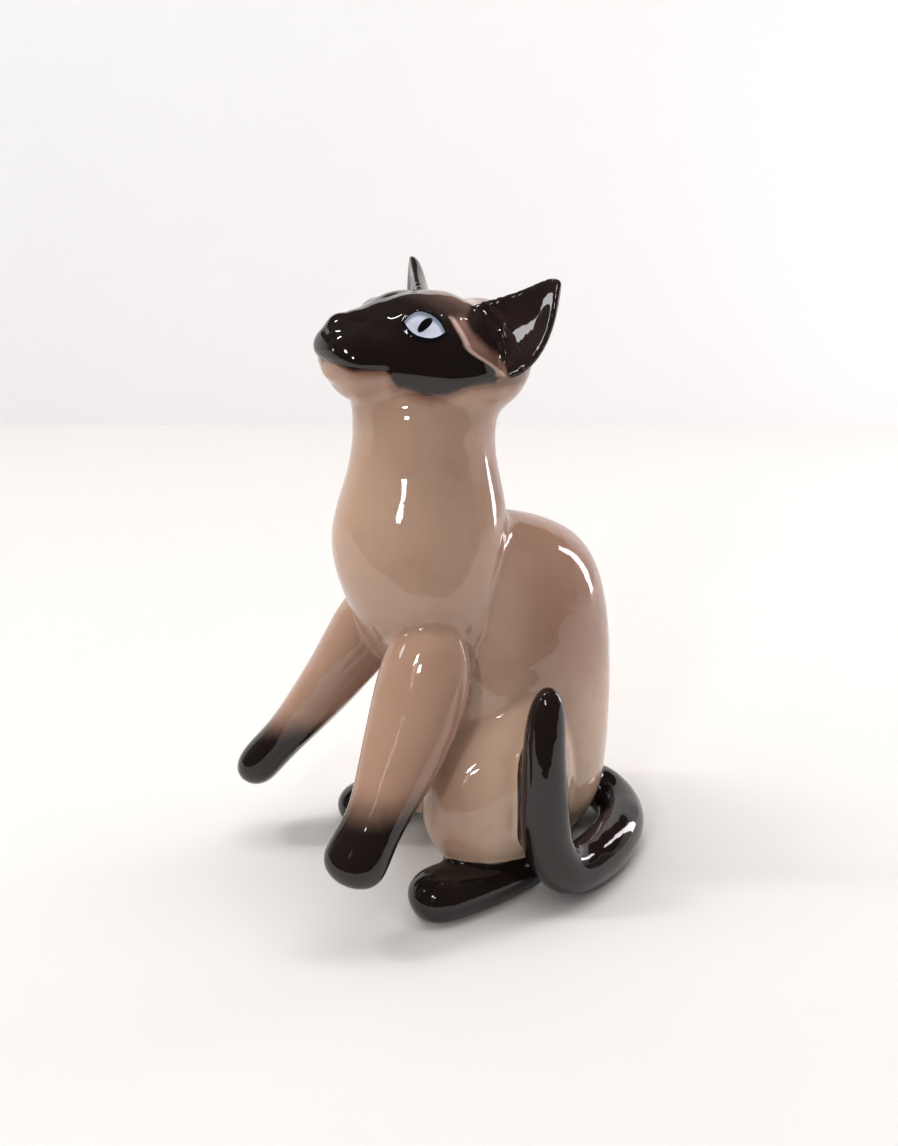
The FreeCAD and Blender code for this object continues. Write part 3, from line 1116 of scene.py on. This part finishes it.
def set_panels(settings):
    """The floor and the wall, and the panels that only the glaze sees."""
    panel("stage_floor", FLOOR_MIDDLE, RIGHT * 2.0, LOOK * 1.0,
          plain_finish("pale_floor", settings.floor, 0.9))
    panel("stage_wall", WALL_FOOT + UP * 0.8, RIGHT * 2.0, UP * 0.8,
          plain_finish("pale_wall", settings.wall, 0.9))
    cloth = plain_finish("dark_cloth", settings.cloth, 1.0)
    mirrored_panel("stage_dark_screen", SCREEN_MIDDLE, RIGHT * 1.2, UP * 0.30, cloth)
    mirrored_panel("stage_dark_ceiling", WALL_FOOT - LOOK * 0.02 + UP * 1.10, RIGHT * 1.6,
                   UP * 0.80, cloth)
    for k, (place, across, up, share) in enumerate(GLINTS):
        mirrored_panel("stage_glint_%d" % k, place, across, up,
                       glowing_finish("bright_glint_%d" % k, settings.glint * share))


def set_lights(scene, settings):
    """The dim room, a broad soft lamp above, and the lamps that show in the glaze."""
    world = bpy.data.worlds.new("dim_room")
    scene.world = world
    world.use_nodes = True
    background = world.node_tree.nodes["Background"]
    background.inputs["Color"].default_value = (0.93, 0.96, 1.0, 1.0)
    background.inputs["Strength"].default_value = settings.room

    sun = bpy.data.lights.new("soft_lamp", "SUN")
    sun.energy = settings.lamp
    sun.angle = math.radians(100.0)
    sun.color = (1.0, 0.985, 0.965)
    lamp = bpy.data.objects.new("soft_lamp", sun)
    scene.collection.objects.link(lamp)
    direction = UP - RIGHT * 0.45 + LOOK * 0.10
    lamp.rotation_euler = direction.to_track_quat("Z", "Y").to_euler()
    lamp.visible_glossy = False

    soft_light("wall_lamp", WALL_FOOT - LOOK * 0.30 + UP * 1.1, WALL_FOOT + UP * 0.15,
               (1.6, 0.3), 9.0, (1.0, 1.0, 1.0), False)
    for name, azimuth, elevation, distance, size, power, tint in LAMPS:
        soft_light(name, toward(azimuth, elevation, distance), FIGURE_MIDDLE, size,
                   getattr(settings, power), tint)


def set_camera(scene):
    """The camera, level, looking down a little."""
    camera = bpy.data.cameras.new("camera")
    camera.lens = LENS
    camera.sensor_width = SENSOR
    camera.clip_start = 0.01
    eye = bpy.data.objects.new("camera", camera)
    scene.collection.objects.link(eye)
    eye.location = EYE_POINT
    eye.rotation_euler = (EYE_DROP, 0.0, EYE_TURN)
    scene.camera = eye
    scene.view_settings.view_transform = "Standard"


class FIGURINE_OT_stage(bpy.types.Operator):
    """Set the floor, the wall, the lights and the camera"""

    bl_idname = "figurine.stage"
    bl_label = "Stage"

    def execute(self, context):
        settings = context.scene.figurine_stage
        set_panels(settings)
        set_lights(context.scene, settings)
        set_camera(context.scene)
        return {"FINISHED"}


STEPS = (
    FIGURINE_OT_form,
    FIGURINE_OT_body,
    FIGURINE_OT_head,
    FIGURINE_OT_ears,
    FIGURINE_OT_forelegs,
    FIGURINE_OT_feet,
    FIGURINE_OT_tail,
    FIGURINE_OT_stage,
)


class FIGURINE_PT_panel(bpy.types.Panel):
    """Sizes, colours and steps of the figurine"""

    bl_idname = "FIGURINE_PT_panel"
    bl_label = "Cat figurine"
    bl_space_type = "VIEW_3D"
    bl_region_type = "UI"
    bl_category = "Figurine"

    def draw(self, context):
        scene = context.scene
        for group in (scene.figurine_shape, scene.figurine_colours, scene.figurine_stage):
            box = self.layout.box()
            for name in group.__annotations__:
                box.prop(group, name)
        for step in STEPS:
            self.layout.operator(step.bl_idname)


CLASSES = (FigurineShape, FigurineColours, FigurineStage) + STEPS + (FIGURINE_PT_panel,)


def register():
    for made in CLASSES:
        bpy.utils.register_class(made)
    bpy.types.Scene.figurine_shape = PointerProperty(type=FigurineShape)
    bpy.types.Scene.figurine_colours = PointerProperty(type=FigurineColours)
    bpy.types.Scene.figurine_stage = PointerProperty(type=FigurineStage)


def unregister():
    del bpy.types.Scene.figurine_stage
    del bpy.types.Scene.figurine_colours
    del bpy.types.Scene.figurine_shape
    for made in reversed(CLASSES):
        bpy.utils.unregister_class(made)


def main():
    register()
    for step in STEPS:
        group, name = step.bl_idname.split(".")
        getattr(getattr(bpy.ops, group), name)()


if __name__ == "__main__":
    main()
